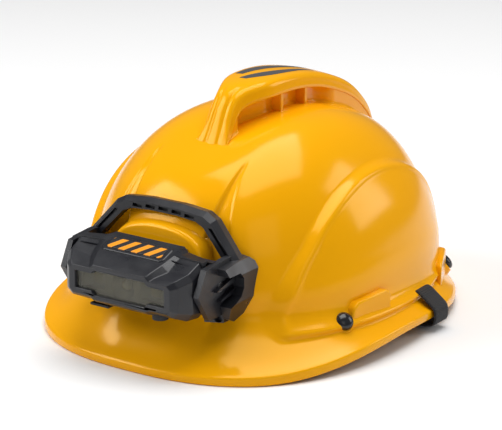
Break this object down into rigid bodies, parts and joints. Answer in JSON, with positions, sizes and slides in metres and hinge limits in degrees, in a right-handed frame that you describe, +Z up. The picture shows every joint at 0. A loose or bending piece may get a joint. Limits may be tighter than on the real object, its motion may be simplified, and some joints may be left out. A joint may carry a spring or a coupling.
{
  "type": "hard hat with cap lamp",
  "caption": "Yellow miner's hard hat with a faceted black cap lamp clipped on its front boss, with suspension, chin strap, raised crest and side panels.",
  "frame": {"origin": "centre of the bounding box on the surface the brim stands on", "axes": "+Z up, the lamp looks toward -Y, the wearer's left is +X"},
  "size_m": [0.2434, 0.285, 0.1585],
  "materials": {
    "shell_yellow": "glossy moulded plastic",
    "decal_grey": "satin printed film",
    "black_gloss": "glossy",
    "band_black": "satin",
    "sweat_fabric": "soft knitted cover",
    "webbing_black": "woven webbing",
    "gear_white": "satin",
    "knob_black": "satin",
    "lamp_black": "fine grain, satin",
    "screw_steel": "plated",
    "lens_smoke": "smoky clear plastic",
    "rubber_black": "matt",
    "board_white": "white solder mask",
    "led_clear": "clear",
    "led_yellow": "phosphor",
    "reflector_chrome": "satin plated",
    "sink_aluminium": "as extruded",
    "board_green": "green solder mask",
    "cell_silver": "pouch film",
    "nameplate_orange": "hazard stripes, no text"
  },
  "bodies": {
    "helmet": {"helmet_shell": "shell_yellow", "crest_decal": "decal_grey", "shell_rivets": "black_gloss", "headband": "band_black", "sweatband": "sweat_fabric", "crown_strap_lower": "webbing_black", "crown_strap_upper": "webbing_black", "strap_holders": "band_black", "chin_strap": "webbing_black", "chin_loops": "webbing_black", "chin_buckle": "band_black", "ratchet_housing": "band_black", "band_racks": "band_black", "lamp_bracket": "lamp_black", "bracket_feet": "lamp_black", "bracket_screws": "lamp_black"},
    "ratchet": {"ratchet_gear": "gear_white", "ratchet_knob": "knob_black"},
    "lamp_carrier": {"lamp_frame": "lamp_black", "side_blocks": "lamp_black", "pivot_pins": "screw_steel", "pivot_washers": "gear_white"},
    "lamp_head": {"lamp_bezel": "lamp_black", "lamp_rear_housing": "lamp_black", "housing_screws": "screw_steel", "lens": "lens_smoke", "lens_gasket": "rubber_black", "led_board": "board_white", "led_dome": "led_clear", "led_side_chips": "led_yellow", "reflector": "reflector_chrome", "heat_sink": "sink_aluminium", "driver_board": "board_green", "battery_cell": "cell_silver", "battery_tray": "band_black", "usb_socket": "screw_steel", "nameplate": "nameplate_orange"},
    "button": {"power_button": "rubber_black"},
    "flap": {"usb_flap": "rubber_black"}
  },
  "joints": [
    {"name": "lamp_release", "type": "slide", "parent": "helmet", "child": "lamp_carrier", "axis": [0, 0, 1], "range_m": [0, 0.02]},
    {"name": "lamp_tilt", "type": "hinge", "parent": "lamp_carrier", "child": "lamp_head", "pos_m": [0, -0.11, 0.057], "axis": [1, 0, 0], "range_deg": [-8, 14]},
    {"name": "button_press", "type": "slide", "parent": "lamp_head", "child": "button", "axis": [0, 0, 1], "range_m": [0, 0.001], "stiffness_N_per_m": 800},
    {"name": "flap_hinge", "type": "hinge", "parent": "lamp_head", "child": "flap", "pos_m": [-0.022, -0.1246, 0.0369], "axis": [1, 0, 0], "range_deg": [0, 95]},
    {"name": "ratchet_turn", "type": "hinge", "parent": "helmet", "child": "ratchet", "pos_m": [0, 0.12, 0.033], "axis": [0, 1, 0], "continuous": true}
  ]
}
